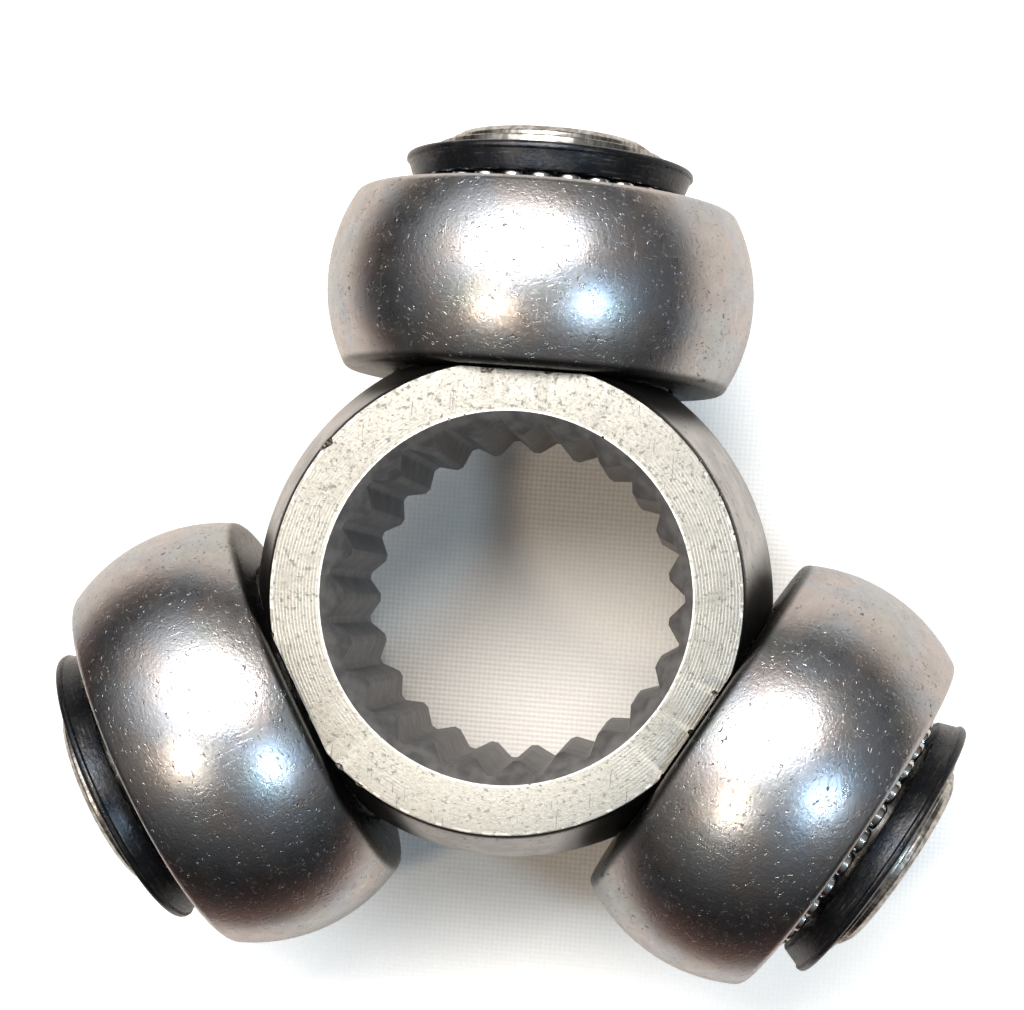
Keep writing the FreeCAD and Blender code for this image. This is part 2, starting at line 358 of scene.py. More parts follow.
def turnedFace(size):
    # face turned on a lathe: fine rings about the bore, with a mottled, grainy bloom
    finish = Finish("turnedFace")
    top, mouth, rim = size["height"] / 2, size["mouthRadius"], size["faceRadius"]
    radius = finish.radius(finish.x, finish.y)
    around = finish.join(radius * 6.0, finish.x / radius * 2.6, finish.y / radius * 2.6)
    rings = finish.noise(around, 1.0, 3.0, 0.65)
    mottle = finish.noise(finish.at, 2.2, 4.0, 0.62)
    grain = finish.noise(finish.at, 3.6, 4.0, 0.7)
    specks = finish.ramp(finish.noise(finish.at, 2.7, 3.0, 0.65), 0.57, 0.68)
    marks = scratches(finish, 0.02, (0.0, 0.0, 0.7), 7.0) + scratches(finish, 0.0, (0.0, 0.0, 2.1), 7.0)
    dullGrey, lightGrey, grainBrown = (0.34, 0.325, 0.292), (0.455, 0.435, 0.39), (0.14, 0.132, 0.115)
    shaded, lit, ridge = (0.24, 0.23, 0.205), (0.64, 0.615, 0.555), (0.7, 0.68, 0.63)
    edgeHighlight, speckBrown, scratchBrown = (0.88, 0.86, 0.8), (0.2, 0.185, 0.16), (0.2, 0.18, 0.16)
    colour = finish.blend(finish.ramp(mottle, 0.3, 0.68), dullGrey, lightGrey)
    colour = finish.blend(finish.ramp(grain, 0.47, 0.7) * 0.6, colour, grainBrown)
    drift = finish.noise(finish.at, 0.35, 2.0)
    sideways = finish.x * finish.x / (radius * radius)
    feed = finish.sine(radius * 27.0 + drift * 7.0 + rings * 1.5)
    # the rings catch the light above and below the bore, less to its sides; this is painted light and
    # shade: the face is painted darker to the sides of the bore, more so towards +X, and lighter towards -Y
    colour = finish.blend(sideways * (0.3 + finish.ramp(finish.x, 0.0, 10.0) * 0.4), colour, shaded)
    colour = finish.blend(finish.ramp(finish.y, 2.0, -12.0) * (1.0 - sideways) * 0.45, colour, lit)
    grooves = (finish.ramp(feed, -0.5, 0.9) * (0.08 + 0.92 * sideways)
               * finish.ramp(drift + sideways * 0.25, 0.5, 0.8))
    colour = finish.blend(grooves * 0.5, colour, ridge)
    # painted highlight: a bright line along the edges of the mouth and, in places, of the barrel, where
    # they catch the light
    edges = (finish.ramp(radius, mouth + 0.19, mouth + 0.09)
             + finish.ramp(radius, rim - 0.33, rim - 0.23)
             * finish.ramp(finish.noise(finish.at, 1.3, 2.0), 0.5, 0.6))
    edges = edges * finish.ramp(finish.z, top - 0.3, top - 0.1)
    colour = finish.blend(edges * 0.65, colour, edgeHighlight)
    colour = finish.blend(specks * 0.4, colour, speckBrown)
    colour = finish.blend(finish.ramp(marks, 0.0, 1.0) * 0.4, colour, scratchBrown)
    roughness = 0.5 + mottle * 0.14 + specks * 0.15
    height = rings * 0.01 + grooves * 0.01 + grain * 0.03 - specks * 0.01 - marks * 0.01
    return finish.metal(colour, roughness, height)


def barrelSide(size):
    # the outside of the hub, turned round the bore, with rust freckles
    finish = Finish("barrelSide")
    top = size["height"] / 2
    radius = finish.radius(finish.x, finish.y)
    around = finish.join(finish.z * 5.0, finish.x / radius * 3.0, finish.y / radius * 3.0)
    rings = finish.noise(around, 1.0, 3.0, 0.6)
    clouds = finish.noise(finish.at, 0.5, 3.0)
    grain = finish.noise(finish.at, 6.0, 2.0)
    freckles = finish.ramp(finish.noise(finish.at, 2.2, 3.0), 0.62, 0.74)
    grey, lightGrey, ridge = (0.40, 0.395, 0.395), (0.56, 0.55, 0.545), (0.66, 0.65, 0.64)
    rust, duller = (0.1, 0.085, 0.075), (0.1, 0.095, 0.09)
    # near blacks for the painted shade beside the flats and for the dark line under the face's edge
    shadeBlack, edgeDark = (0.016, 0.014, 0.013), (0.03, 0.026, 0.023)
    colour = finish.blend(finish.ramp(clouds, 0.35, 0.65), grey, lightGrey)
    colour = finish.blend(finish.ramp(rings, 0.48, 0.6) * 0.4, colour, ridge)
    colour = finish.blend(freckles * 0.6, colour, rust)
    # painted shade and dark reflection: near black next to the journals' flats, where the rollers shade the
    # side, and darker below the front third, where the side mirrors shaded floor
    nearest = finish.y
    for journal in journals[1:]:
        turn = turnOf(journal)
        nearest = finish.node("Math", {"operation": "MAXIMUM"}, {
            0: nearest, 1: finish.y * math.cos(turn) - finish.x * math.sin(turn)})
    paintedShade = finish.ramp(nearest + clouds * 0.8 + grain * 0.3, 12.9, 14.9)
    colour = finish.blend(finish.ramp(finish.z, 4.5, 2.2) * 0.5, colour, duller)
    colour = finish.blend(paintedShade * 0.93, colour, shadeBlack)
    # darker in a ragged line under the front face's edge
    rim = finish.ramp(finish.z + grain * 0.5 + clouds * 0.4, top - 0.05, top + 0.15)
    colour = finish.blend(rim * 0.85, colour, edgeDark)
    roughness = 0.34 + clouds * 0.14 + freckles * 0.15
    height = rings * 0.014 + grain * 0.005 - freckles * 0.008
    return finish.metal(colour, roughness, height)


def broachedSteel():
    # the bore: broach lines along it and a dull heat-treated grey
    finish = Finish("broachedSteel")
    along = finish.join(finish.x * 5.0, finish.y * 5.0, finish.z * 0.25)
    lines = finish.noise(along, 1.0, 2.0)
    clouds = finish.noise(finish.at, 0.7, 3.0)
    grain = finish.noise(finish.at, 7.0, 2.0)
    darkGrey, grey, bright = (0.16, 0.16, 0.168), (0.27, 0.262, 0.26), (0.42, 0.4, 0.38)
    colour = finish.blend(finish.ramp(clouds, 0.3, 0.7), darkGrey, grey)
    colour = finish.blend(finish.ramp(lines, 0.6, 0.72) * 0.2, colour, bright)
    roughness = 0.38 + clouds * 0.14 + grain * 0.06
    return finish.metal(colour, roughness, lines * 0.002 + grain * 0.006, metallic=0.5)


def leadInSteel():
    # the turned cone at the bore's mouth
    finish = Finish("leadInSteel")
    rings = finish.noise(finish.join(finish.z * 9.0, finish.x * 0.2, finish.y * 0.2), 1.0, 3.0)
    clouds = finish.noise(finish.at, 0.9, 3.0)
    grain = finish.noise(finish.at, 6.5, 2.0)
    darkGrey, grey = (0.14, 0.133, 0.13), (0.23, 0.22, 0.212)
    colour = finish.blend(finish.ramp(clouds, 0.3, 0.7), darkGrey, grey)
    return finish.metal(colour, 0.42 + clouds * 0.15, rings * 0.006 + grain * 0.006, metallic=0.55)


def chippedSteel():
    # the dull bottoms of the nicks
    finish = Finish("chippedSteel")
    grain = finish.noise(finish.at, 5.0, 2.0)
    dirt, grey = (0.05, 0.042, 0.036), (0.3, 0.28, 0.25)
    colour = finish.blend(finish.ramp(grain, 0.4, 0.6), dirt, grey)
    return finish.metal(colour, 0.45 + grain * 0.2, grain * 0.02)


def brightSteel(turn, end):
    # journals and circlips: ground round the journal's axis
    finish = Finish("brightSteel", turn)
    around = finish.join(finish.x * 0.5, finish.y * 9.0, finish.z * 0.5)
    rings = finish.noise(around, 1.0, 3.0, 0.6)
    upright = finish.noise(finish.join(finish.x * 2.2, finish.y * 0.5, finish.z * 2.2), 1.0, 3.0, 0.6)
    clouds = finish.noise(finish.at, 0.8, 3.0)
    stains = finish.ramp(clouds, 0.52, 0.68)
    darkGrey, lightGrey, stain = (0.22, 0.205, 0.185), (0.55, 0.535, 0.505), (0.1, 0.082, 0.065)
    endGrey, endLight = (0.36, 0.345, 0.325), (0.5, 0.485, 0.46)
    colour = finish.blend(finish.ramp(upright, 0.35, 0.65), darkGrey, lightGrey)
    # the end is turned: rings about the axis
    fromAxis = finish.radius(finish.x, finish.z)
    atEnd = finish.ramp(finish.y, end - 0.12, end - 0.02)
    turned = finish.noise(finish.join(fromAxis * 6.0, finish.y, clouds), 1.0, 3.0, 0.6)
    colour = finish.blend(atEnd, colour, finish.blend(finish.ramp(turned, 0.35, 0.65), endGrey, endLight))
    colour = finish.blend(stains * 0.5, colour, stain)
    roughness = 0.22 + clouds * 0.16 + stains * 0.1
    return finish.metal(colour, roughness, rings * 0.01 + upright * 0.004 + turned * atEnd * 0.012)


def needleSteel():
    # polished, with painted shade: dark at the inner ends, which sit in shadow between roller and hub
    finish = Finish("needleSteel")
    clouds = finish.noise(finish.at, 1.2, 2.0)
    grain = finish.noise(finish.at, 8.0, 2.0)
    grey, lightGrey, shadeBlack = (0.60, 0.59, 0.57), (0.74, 0.73, 0.71), (0.05, 0.045, 0.04)
    colour = finish.blend(finish.ramp(clouds, 0.35, 0.65), grey, lightGrey)
    # painted shade: the inner ends are darkened, with rougher reflections
    inner = finish.ramp(finish.radius(finish.radius(finish.x, finish.y), finish.z), 19.6, 19.4)
    colour = finish.blend(inner * 0.9, colour, shadeBlack)
    return finish.metal(colour, 0.15 + clouds * 0.08 + inner * 0.4, grain * 0.0008)


def blackSteel(turn):
    # black oxide, rubbed through to brown and grey where parts have touched
    finish = Finish("blackSteel", turn)
    around = finish.join(finish.x * 0.4, finish.y * 6.0, finish.z * 0.4)
    rings = finish.noise(around, 1.0, 2.0)
    clouds = finish.noise(finish.at, 0.6, 3.0)
    spots = finish.noise(finish.at, 3.2, 4.0, 0.65)
    rubbed = finish.ramp(finish.noise(around, 0.7, 4.0, 0.7), 0.54, 0.7) * finish.ramp(clouds, 0.4, 0.58)
    black, softBlack, brown = (0.012, 0.013, 0.016), (0.035, 0.036, 0.04), (0.085, 0.075, 0.065)
    blueBlack, bareSteel = (0.035, 0.042, 0.055), (0.3, 0.29, 0.27)
    colour = finish.blend(finish.ramp(clouds, 0.3, 0.7), black, softBlack)
    colour = finish.blend(finish.ramp(spots, 0.52, 0.68) * 0.5, colour, brown)
    colour = finish.blend(finish.ramp(clouds, 0.55, 0.4) * 0.35, colour, blueBlack)
    colour = finish.blend(rubbed * 0.42, colour, bareSteel)
    roughness = 0.17 + clouds * 0.16 + rings * 0.06
    return finish.metal(colour, roughness, rings * 0.008 + spots * 0.034 - rubbed * 0.002, metallic=0.8)


# hub: a barrel with a splined bore and three milled flats

hubSize = {
    "height": 25.0, "faceRadius": 16.75, "waistRadius": 19.1, "faceBreak": 0.2,
    "mouthRadius": 13.15, "rootRadius": 12.6, "tipRadius": 11.5, "leadIn": 2.3, "backLeadIn": 1.15,
    "mouthRounding": 0.06, "backDepth": 1.35, "coneOverlap": 0.2, "clearance": 1.0,
    "teeth": 23, "spaceTip": 2.65, "spaceRoot": 0.5, "tipRounding": 0.05, "rootRounding": 0.1,
    "flatDistance": 16.05, "blockReach": 20.0, "blockWidth": 60.0, "edgeBevel": 0.1, "sharpFrom": 12.0,
    "barrelRings": 24, "steps": 276, "smooth": 25.0,
}


def barrelArc(size):
    # points of the barrel's side, an arc through both faces' edges and the waist
    half = size["height"] / 2
    sag = size["waistRadius"] - size["faceRadius"]
    bend = (half * half + sag * sag) / (2 * sag)
    heights = [half * (1 - 2 * step / size["barrelRings"]) for step in range(1, size["barrelRings"])]
    centre = size["waistRadius"] - bend
    return [(centre + math.sqrt(bend * bend - height * height), 0, height) for height in heights]


def splinePlug(size):
    # the spline's outline as one closed line: two root corners and two tip corners a space
    corners = []
    for space in range(size["teeth"]):
        middle = math.radians(90 - (space + 0.5) * 360 / size["teeth"])
        outward = Vector((math.cos(middle), math.sin(middle), 0))
        across = Vector((-outward.y, outward.x, 0))
        for width, radius, rounding in ((size["spaceTip"], size["tipRadius"], size["tipRounding"]),
                                        (size["spaceRoot"], size["rootRadius"], size["rootRounding"])):
            corners.append((outward * radius + across * width / 2, rounding))
        for width, radius, rounding in ((size["spaceRoot"], size["rootRadius"], size["rootRounding"]),
                                        (size["spaceTip"], size["tipRadius"], size["tipRounding"])):
            corners.append((outward * radius - across * width / 2, rounding))
    start = -size["height"]
    return extrudeOutline("plug", [(place.x, place.y, start, rounding) for place, rounding in corners],
                          (0, 0, 2 * size["height"]))


def makeHub(size):
    half = size["height"] / 2
    edge = size["faceBreak"]
    outline = [(0, 0, half), (size["faceRadius"], 0, half, edge), *barrelArc(size),
               (size["faceRadius"], 0, -half, edge), (0, 0, -half)]
    hub = spinOutline("spider_hub", outline, alongZ, size["steps"])
    cutWith(hub, splinePlug(size))
    # the front lead-in has two slopes: steep to the roots, then flatter to the tips
    mouth, root, tip = size["mouthRadius"], size["rootRadius"], size["tipRadius"]
    overlap, clear = size["coneOverlap"], size["clearance"]
    rootHeight, tipHeight = half - (mouth - root), half - size["leadIn"]
    slope = (rootHeight - tipHeight) / (root - tip)
    bottom = tipHeight - overlap * slope
    cutWith(hub, spinOutline("cone", [
        (0, 0, half + clear), (mouth + clear, 0, half + clear), (mouth, 0, half, size["mouthRounding"]),
        (root, 0, rootHeight), (tip - overlap, 0, bottom), (0, 0, bottom)], alongZ, size["steps"]))
    back, bottom = tip + size["backLeadIn"], size["backDepth"] - half
    cutWith(hub, spinOutline("cone", [
        (0, 0, -half - clear), (back + clear, 0, -half - clear), (tip - overlap, 0, bottom),
        (0, 0, bottom)], alongZ, size["steps"]))
    reach, width = size["blockReach"], size["blockWidth"] * mm
    for journal in journals:
        deselectAll()
        bpy.ops.mesh.primitive_cube_add(size=1, scale=(width, reach * mm, width))
        block = bpy.context.object
        applyPlace(block)
        block.location.y = (size["flatDistance"] + reach / 2) * mm
        applyPlace(block)
        block.rotation_euler.z = turnOf(journal)
        cutWith(hub, block)
    return hub


nickShape = {"height": 12.6, "radius": 0.5, "width": 1.6, "tallness": 1.3, "raggedness": 0.1}
# degrees from +Y towards +X, then radius, length, depth and slant of each mark
frontNicks = [
    (-53.5, 16.95, 1.5, 0.85, 8), (-55.5, 17.0, 0.7, 0.6, -20), (-76.0, 16.85, 0.6, 0.35, 20),
    (-83.0, 16.85, 0.9, 0.28, -10), (-89.0, 16.85, 0.5, 0.32, 15), (-103.5, 16.9, 0.7, 0.6, 25),
    (-140.0, 16.75, 0.9, 0.5, -20), (-146.0, 16.8, 1.1, 0.4, 30), (-152.0, 16.85, 0.6, 0.3, 0),
    (-158.0, 16.85, 0.6, 0.3, 10), (-166.0, 16.85, 0.4, 0.3, 20), (164.0, 16.85, 0.5, 0.35, 10),
    (172.0, 16.85, 0.4, 0.3, 0), (134.0, 16.7, 0.6, 0.4, -35), (121.5, 16.2, 0.7, 0.7, 15),
    (110.0, 16.1, 0.5, 0.4, 5), (38.0, 16.85, 0.5, 0.3, 0), (50.5, 16.9, 0.5, 0.5, -10),
    (60.0, 16.9, 0.45, 0.55, 15), (70.0, 16.9, 0.5, 0.5, 0), (77.0, 16.85, 0.4, 0.3, 0),
    (-9.0, 16.1, 1.3, 0.4, 0), (-4.0, 16.15, 0.8, 0.3, 10), (6.0, 16.15, 1.1, 0.3, -5),
    (-22.0, 13.1, 0.3, 0.3, 40), (-17.0, 13.1, 0.3, 0.3, -10), (-88.0, 13.1, 0.35, 0.2, 30),
    (168.0, 13.1, 0.3, 0.25, 20), (27.0, 13.1, 0.35, 0.3, 0), (122.0, 13.1, 0.3, 0.25, 15),
]
backNicks = [
    (-38.0, 16.8, 0.9, 0.4, 0), (66.0, 16.8, 0.7, 0.5, 20), (172.0, 16.8, 0.6, 0.4, 0),
]


def nickEdges(hub, marks, shape, seed):
    # small chips, cut out of the edges together; their faces take the hub's last finish
    wedges = []
    for number, (height, angle, radius, length, depth, slant) in enumerate(marks):
        way = math.radians(90 - angle)
        deselectAll()
        bpy.ops.mesh.primitive_ico_sphere_add(
            subdivisions=1, radius=shape["radius"] * mm,
            location=(radius * math.cos(way) * mm, radius * math.sin(way) * mm, height * mm),
            rotation=(math.radians(slant), math.radians(slant / 2), way + math.pi / 2),
            scale=(length, shape["width"] * depth, shape["tallness"] * depth))
        wedge = bpy.context.object
        applyPlace(wedge)
        startEditing(wedge)
        bpy.ops.mesh.select_all(action="SELECT")
        bpy.ops.transform.vertex_random(offset=depth * shape["raggedness"] * mm, seed=seed + number)
        stopEditing()
        wedges.append(wedge)
    chips = joined(wedges)
    for material in hub.data.materials:
        chips.data.materials.append(material)
    for face in chips.data.polygons:
        face.material_index = len(hub.data.materials) - 1
    cutWith(hub, chips)
    print("hub nicked:", len(hub.data.polygons), "faces")


def roundFlats(hub, size):
    # break the edges where the flats cut the barrel
    outward = [outwardAlong(journal) for journal in journals]
    startEditing(hub)
    bpy.ops.mesh.select_mode(type="EDGE")
    bpy.ops.mesh.select_all(action="DESELECT")
    bpy.ops.mesh.edges_select_sharp(sharpness=math.radians(size["sharpFrom"]))
    stopEditing()
    sharp = {edge.index for edge in hub.data.edges if edge.select}
    places = hub.data.vertices

    flat = size["flatDistance"] * mm

    def onFlat(edge):
        return edge.index in sharp and any(
            all(abs(places[end].co.dot(way) - flat) < touching for end in edge.vertices)
            for way in outward)

    bpy.ops.object.mode_set(mode="EDIT")
    count = pick(hub, "EDGE", onFlat)
    bpy.ops.mesh.bevel(offset=size["edgeBevel"] * mm, segments=2, clamp_overlap=True)
    stopEditing()
    print("hub: flat edges broken:", count)


def dressHub(hub, size):
    # the order of the finishes gives their numbers: side, face, bore, lead-in, chips
    for finish in (barrelSide(size), turnedFace(size), broachedSteel(), leadInSteel(), chippedSteel()):
        hub.data.materials.append(finish)
    half, mouth = size["height"] / 2, size["mouthRadius"]
    for face in hub.data.polygons:
        centre = face.center / mm
        radius = math.hypot(centre.x, centre.y)
        outward = (centre.x * face.normal.x + centre.y * face.normal.y) / radius
        level, upright = abs(face.normal.z) > 0.95, abs(face.normal.z) < 0.1
        if level and abs(abs(centre.z) - half) < 0.3:
            face.material_index = 1
        elif radius < mouth + 0.02 and outward < 0.9 and upright:
            face.material_index = 2
        elif radius < mouth + 0.05:
            face.material_index = 3


hub = makeHub(hubSize)
roundFlats(hub, hubSize)
dressHub(hub, hubSize)
nicks = [(nickShape["height"], *mark) for mark in frontNicks]
nicks += [(-nickShape["height"], *mark) for mark in backNicks]
# every other mark at a time, so that no two chips of one cut touch
nickEdges(hub, nicks[::2], nickShape, 1)
nickEdges(hub, nicks[1::2], nickShape, 101)
smoothShade(hub, hubSize["smooth"])
dress(hub, "spider", "forged_steel", None, "spider")
print("hub made:", len(hub.data.polygons), "faces")


# journals: ground pins with a thrust shoulder and a circlip groove

journalSize = {
    "radius": 8.1, "tipRadius": 7.6, "root": 13.4, "end": 34.42, "endBreak": 0.75, "endSlope": 0.45,
    "shoulderRadius": 9.9, "shoulder": 16.15, "grooveRadius": 7.1, "grooveStart": 32.6, "grooveEnd": 33.5,
    "edgeRounding": 0.05, "lipRounding": 0.04, "endRounding": 0.08, "steps": 144,
}


def makeJournal(size):
    tip, end = size["tipRadius"], size["end"]
    edge, rounding = size["edgeRounding"], size["endRounding"]
    outline = [
        (0, size["root"], 0), (size["shoulderRadius"], size["root"], 0),
        (size["shoulderRadius"], size["shoulder"], 0, edge), (size["radius"], size["shoulder"], 0),
        (size["radius"], size["grooveStart"], 0, edge), (size["grooveRadius"], size["grooveStart"], 0),
        (size["grooveRadius"], size["grooveEnd"], 0), (tip, size["grooveEnd"], 0, size["lipRounding"]),
        (tip, end - size["endSlope"], 0, rounding), (tip - size["endBreak"], end, 0, rounding),
        (0, end, 0),
    ]
    return spinOutline("journal", outline, alongY, size["steps"])


brightSteels = {journal: brightSteel(turnOf(journal), journalSize["end"]) for journal in journals}
pattern = makeJournal(journalSize)
smoothShade(pattern)
for journal in journals:
    piece = copyToJournal(pattern, f"spider_journal_{journal}", journal)
    dress(piece, "spider", "forged_steel", brightSteels[journal], "spider")
bpy.data.objects.remove(pattern)
print("journals made")


# needles: a full row round each journal, in four groups

needleSize = {"radius": 1.0, "pitch": 9.15, "length": 14.35, "start": 16.22, "endRounding": 0.22,
              "sides": 24, "smooth": 40.0, "count": 28, "groups": "abcd"}


def makeNeedle(size):
    deselectAll()
    middle = size["start"] + size["length"] / 2
    bpy.ops.mesh.primitive_cylinder_add(
        vertices=size["sides"], radius=size["radius"] * mm, depth=size["length"] * mm,
        location=(size["pitch"] * mm, middle * mm, 0), rotation=(math.pi / 2, 0, 0))
    needle = bpy.context.object
    applyPlace(needle)
    startEditing(needle)
    ends = [(size["start"] + share * size["length"]) * mm for share in (0, 1)]
    vertices = needle.data.vertices

    def atEnd(edge):
        heights = [vertices[number].co.y for number in edge.vertices]
        return any(all(abs(height - end) < touching for height in heights) for end in ends)

    pick(needle, "EDGE", atEnd)
    bpy.ops.mesh.bevel(offset=size["endRounding"] * mm, segments=3)
    stopEditing()
    smoothShade(needle, size["smooth"])
    return needle


def makeNeedleGroup(needle, size, group):
    copies = []
    inGroup = size["count"] // len(size["groups"])
    for number in range(inGroup):
        copy = copyOf(needle)
        copy.rotation_euler.y = -(group * inGroup + number) * 2 * math.pi / size["count"]
        applyPlace(copy)
        copies.append(copy)
    return joined(copies)


needleFinish = needleSteel()
needle = makeNeedle(needleSize)
for group, letter in enumerate(needleSize["groups"]):
    row = makeNeedleGroup(needle, needleSize, group)
    for journal in journals:
        piece = copyToJournal(row, f"needle_row_{journal}{letter}", journal)
        dress(piece, f"needles_{journal}", "needle_steel", needleFinish, f"needles_{journal}{letter}")
    bpy.data.objects.remove(row)
bpy.data.objects.remove(needle)
print("needles made")


# rollers: barrels with a broken bore edge

rollerSize = {"radius": 16.0, "crown": 13.0, "width": 13.4, "bore": 10.2, "boreBreak": 0.35,
              "boreRounding": 0.08, "rimRounding": 0.4, "crownRings": 28, "steps": 192, "smooth": 35.0,
              "seats": {1: 22.95, 2: 23.15, 3: 22.95}}


def makeRoller(size):
    half, crown, centre = size["width"] / 2, size["crown"], size["radius"] - size["crown"]
    heights = [half * (2 * step / size["crownRings"] - 1) for step in range(1, size["crownRings"])]
    rim, rimRounding = centre + math.sqrt(crown ** 2 - half ** 2), size["rimRounding"]
    bore, edge, rounding = size["bore"], size["boreBreak"], size["boreRounding"]
    outline = [(bore, -half + edge, 0, rounding), (bore + edge, -half, 0, rounding),
               (rim, -half, 0, rimRounding),
               *((centre + math.sqrt(crown ** 2 - height ** 2), height, 0) for height in heights),
               (rim, half, 0, rimRounding),
               (bore + edge, half, 0, rounding), (bore, half - edge, 0, rounding)]
    return spinOutline("roller", outline, alongY, size["steps"])


pattern = makeRoller(rollerSize)
smoothShade(pattern, rollerSize["smooth"])
for journal in journals:
    piece = copyToJournal(pattern, f"barrel_{journal}", journal, rollerSize["seats"][journal])
    dress(piece, f"roller_{journal}", "roller_steel", rollerSteel(turnOf(journal)), f"roller_{journal}")
bpy.data.objects.remove(pattern)
print("rollers made")


# retaining rings: flared, with a seat for the circlip

ringSize = {
    "bore": 8.18, "start": 30.65, "neck": 10.1, "taper": 10.62, "taperEnd": 32.08, "lip": 10.8,
    "lipStart": 32.2, "lipTop": 32.63, "seatRim": 32.92, "seatRadius": 8.95, "floor": 32.3,
    "neckRounding": 0.12, "lipRounding": 0.04, "topRounding": 0.24, "rimRounding": 0.06,
    "steps": 168, "seats": {1: 0.0, 2: 0.3, 3: 0.3},
}


def makeRing(size):
    outline = [
        (size["bore"], size["start"], 0), (size["neck"], size["start"], 0, size["neckRounding"]),
        (size["taper"], size["taperEnd"], 0), (size["lip"], size["lipStart"], 0, size["lipRounding"]),
        (size["lip"], size["lipTop"], 0, size["topRounding"]),
        (size["seatRadius"], size["seatRim"], 0, size["rimRounding"]),
        (size["seatRadius"], size["floor"], 0), (size["bore"], size["floor"], 0),
    ]
    return spinOutline("ring", outline, alongY, size["steps"])


pattern = makeRing(ringSize)
smoothShade(pattern)
for journal in journals:
    piece = copyToJournal(pattern, f"retaining_ring_{journal}", journal, ringSize["seats"][journal])
    dress(piece, f"retainer_{journal}", "black_steel", blackSteel(turnOf(journal)), f"retainer_{journal}")
bpy.data.objects.remove(pattern)
print("retaining rings made")


# circlips: open rings in the journals' grooves

clipSize = {"radius": 8.6, "bore": 7.13, "top": 33.5, "thickness": 0.85, "gap": 30.0,
            "rounding": 0.12, "turns": {1: 165.0, 2: -90.0, 3: -70.0}, "steps": 132, "smooth": 35.0}


def makeClip(size, middle):
    # middle is where the gap is, from +X towards +Z about the journal
    start = math.radians(middle + size["gap"] / 2)
    way = Vector((math.cos(start), 0, math.sin(start)))
    top, bottom = size["top"], size["top"] - size["thickness"]
    corners = ((size["bore"], bottom), (size["radius"], bottom), (size["radius"], top), (size["bore"], top))
    outline = [(way.x * radius, height, way.z * radius, size["rounding"]) for radius, height in corners]
    return spinOutline("clip", outline, (0, -1, 0), size["steps"], 360 - size["gap"])


for journal in journals:
    pattern = makeClip(clipSize, clipSize["turns"][journal])
    smoothShade(pattern, clipSize["smooth"])
    piece = copyToJournal(pattern, f"snap_clip_{journal}", journal)
    dress(piece, "spider", "spring_steel", brightSteels[journal], f"circlip_{journal}")
    bpy.data.objects.remove(pattern)
print("circlips made")


# floor, lamps, room and camera

studio = {
    "floorSize": 4.0, "shadowCentre": (0.0, -6.0), "shadowReach": (16.0, 31.0),
    "floorGlow": 0.5, "innerGlow": 0.005, "farGlow": 0.55, "horizon": (120.0, 600.0),
    "clothEdge": (-72.0, -51.0), "edgeFade": 8.0, "mirroredShare": 0.77, "woodFade": (80.0, 140.0),
    "key": {"at": (-0.1, 0.41, 0.91), "size": (0.52, 0.26), "power": 4.5, "colour": (1.0, 0.985, 0.96)},
    "warm": {"at": (-0.354, -0.274, 0.89), "size": (0.055, 0.055), "power": 0.7,
             "colour": (1.0, 0.86, 0.68)},
    "cool": {"at": (0.5, -0.19, 0.84), "size": (0.085, 0.06), "power": 0.85,
             "colour": (0.56, 0.79, 1.0)},
    "distance": 0.6, "roomLevel": 0.21, "roomLow": 0.005,
    "roomRise": (0.1, 0.6), "roomBack": (-1.0, -0.35), "backShare": 0.27,
    "haloLevel": 1.25, "haloAt": (-0.38, 0.42, 0.82), "haloFrom": 0.74,
}


def makeFloor(values, height):
    # pale cloth; its glow, seen by the camera alone, turns it white away from the part
    deselectAll()
    bpy.ops.mesh.primitive_plane_add(size=values["floorSize"], location=(0, 0, height))
    floor = bpy.context.object
    floor.name = "floor"
    finish = Finish("paleCloth")
    threadRate = 16.0  # radians a millimetre
    threads = finish.sine(finish.x * threadRate) + finish.sine(finish.y * threadRate)
    slubs = finish.noise(finish.at, 0.5, 3.0)
    cream, lightCream = (0.80, 0.755, 0.70), (0.87, 0.825, 0.77)
    colour = finish.blend(finish.ramp(threads + slubs, -1.6, 2.2), cream, lightCream)
    relief = finish.node("Bump", {}, {"Height": threads * 0.035, "Distance": mm, "Strength": 0.5})
    cloth = finish.node("BsdfPrincipled", {}, {"Base Color": colour, "Roughness": 0.95,
                                               "Specular IOR Level": 0.1, "Normal": relief})
    across, upward = (part - middle for part, middle in zip((finish.x, finish.y), values["shadowCentre"]))
    far = finish.ramp(finish.radius(across, upward), *values["shadowReach"])
    mirrored = (finish.node("LightPath", output="Is Glossy Ray")
                + finish.node("LightPath", output="Is Transmission Ray"))
    seen = finish.node("LightPath", output="Is Camera Ray")
    horizon = finish.ramp(finish.radius(finish.x, finish.y), *values["horizon"]) * values["farGlow"]
    level = values["innerGlow"] + far * (values["floorGlow"] - values["innerGlow"]) + horizon
    glow = finish.node("Emission", {}, {"Color": (0.85, 0.93, 1.0), "Strength": seen * level})
    both = finish.node("AddShader", {}, {0: cloth, 1: glow})
    # past the cloth's edge the metal mirrors a dark table
    edgeX, edgeY = values["clothEdge"]
    inside = (finish.ramp(finish.x, edgeX - values["edgeFade"], edgeX)
              * finish.ramp(finish.y, edgeY - values["edgeFade"], edgeY))
    farther = finish.ramp(finish.radius(finish.x, finish.y), *values["woodFade"])
    brown, shade = (0.11, 0.055, 0.045), (0.02, 0.018, 0.018)
    wood = finish.blend(farther, brown, shade)
    table = finish.node("BsdfDiffuse", {}, {"Color": wood})
    tableShare = mirrored * (1.0 - inside * values["mirroredShare"])
    shown = finish.node("MixShader", {}, {0: tableShare, 1: both, 2: table})
    floor.data.materials.append(finish.end(shown))


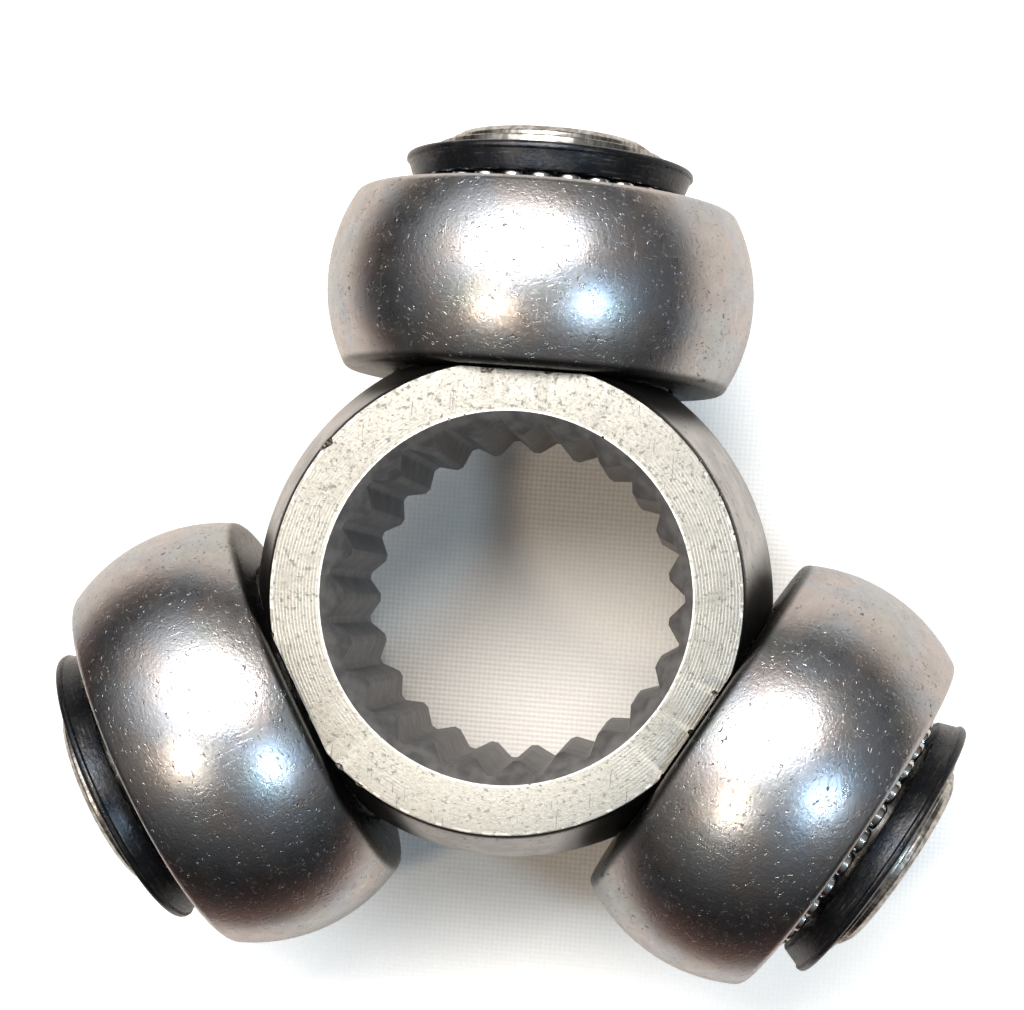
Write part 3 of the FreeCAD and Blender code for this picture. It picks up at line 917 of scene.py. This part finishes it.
def makeLamp(name, values):
    lamp = bpy.data.lights.new(name, "AREA")
    lamp.shape, lamp.energy, lamp.color = "ELLIPSE", values["power"], values["colour"]
    lamp.size, lamp.size_y = values["size"]
    holder = bpy.data.objects.new(name, lamp)
    scene.collection.objects.link(holder)
    holder.location = Vector(values["at"]).normalized() * studio["distance"]
    holder.rotation_euler = holder.location.to_track_quat("Z", "Y").to_euler()


def makeRoom(values):
    # dim all round, darkest low down and towards -Y, with a halo beside the key lamp;
    # white where the camera sees past the floor
    room = bpy.data.worlds.new("room")
    scene.world = room
    room.use_nodes = True
    nodes, links = room.node_tree.nodes, room.node_tree.links
    nodes.clear()

    def place(kind, settings, sockets):
        node = nodes.new("ShaderNode" + kind)
        for name, value in settings.items():
            setattr(node, name, value)
        for name, value in sockets.items():
            if isinstance(value, bpy.types.NodeSocket):
                links.new(value, node.inputs[name])
            else:
                node.inputs[name].default_value = value
        return node.outputs

    direction = place("TexCoord", {}, {})["Generated"]
    parts = place("SeparateXYZ", {}, {0: direction})
    (lowZ, highZ), (lowY, highY) = values["roomRise"], values["roomBack"]
    upward = place("MapRange", {}, {"Value": parts["Z"], "From Min": lowZ, "From Max": highZ})
    behind = place("MapRange", {}, {"Value": parts["Y"], "From Min": lowY, "From Max": highY,
                                    "To Min": values["backShare"]})
    share = place("Math", {"operation": "MULTIPLY"}, {0: upward[0], 1: behind[0]})
    level = place("MapRange", {}, {"Value": share[0], "To Min": values["roomLow"],
                                   "To Max": values["roomLevel"]})
    towards = tuple(Vector(values["haloAt"]).normalized())
    facing = place("VectorMath", {"operation": "DOT_PRODUCT"}, {0: direction, 1: towards})
    halo = place("MapRange", {"interpolation_type": "SMOOTHSTEP"}, {
        "Value": facing["Value"], "From Min": values["haloFrom"], "From Max": 1.0,
        "To Max": values["haloLevel"]})
    level = place("Math", {"operation": "ADD"}, {0: level[0], 1: halo[0]})
    camera = place("LightPath", {}, {})["Is Camera Ray"]
    seen = place("Math", {"operation": "MAXIMUM"}, {0: camera, 1: level[0]})
    light = place("Background", {}, {"Color": (1.0, 0.98, 0.97, 1), "Strength": seen[0]})
    place("OutputWorld", {}, {"Surface": light[0]})


cameraValues = {"at": (12.887, 0.244, 196.702), "aim": (-0.901, 6.938, 0.0),
                "up": (-0.07487, 0.99642, 0.03916), "lens": 92.46, "sensor": 36.0, "clip": 10.0}


def makeCamera(values):
    camera = bpy.data.cameras.new("camera")
    holder = bpy.data.objects.new("camera", camera)
    scene.collection.objects.link(holder)
    at, aim = (Vector(values[key]) * mm for key in ("at", "aim"))
    back = (at - aim).normalized()
    right = Vector(values["up"]).cross(back).normalized()
    holder.location = at
    holder.rotation_euler = Matrix((right, back.cross(right), back)).transposed().to_euler()
    camera.lens, camera.sensor_width = values["lens"], values["sensor"]
    camera.clip_start = values["clip"] * mm
    scene.camera = holder


makeFloor(studio, cadBox[0].z)
for name in ("key", "warm", "cool"):
    makeLamp(name, studio[name])
makeRoom(studio)
makeCamera(cameraValues)
scene.view_settings.view_transform = "Standard"
print("studio made")
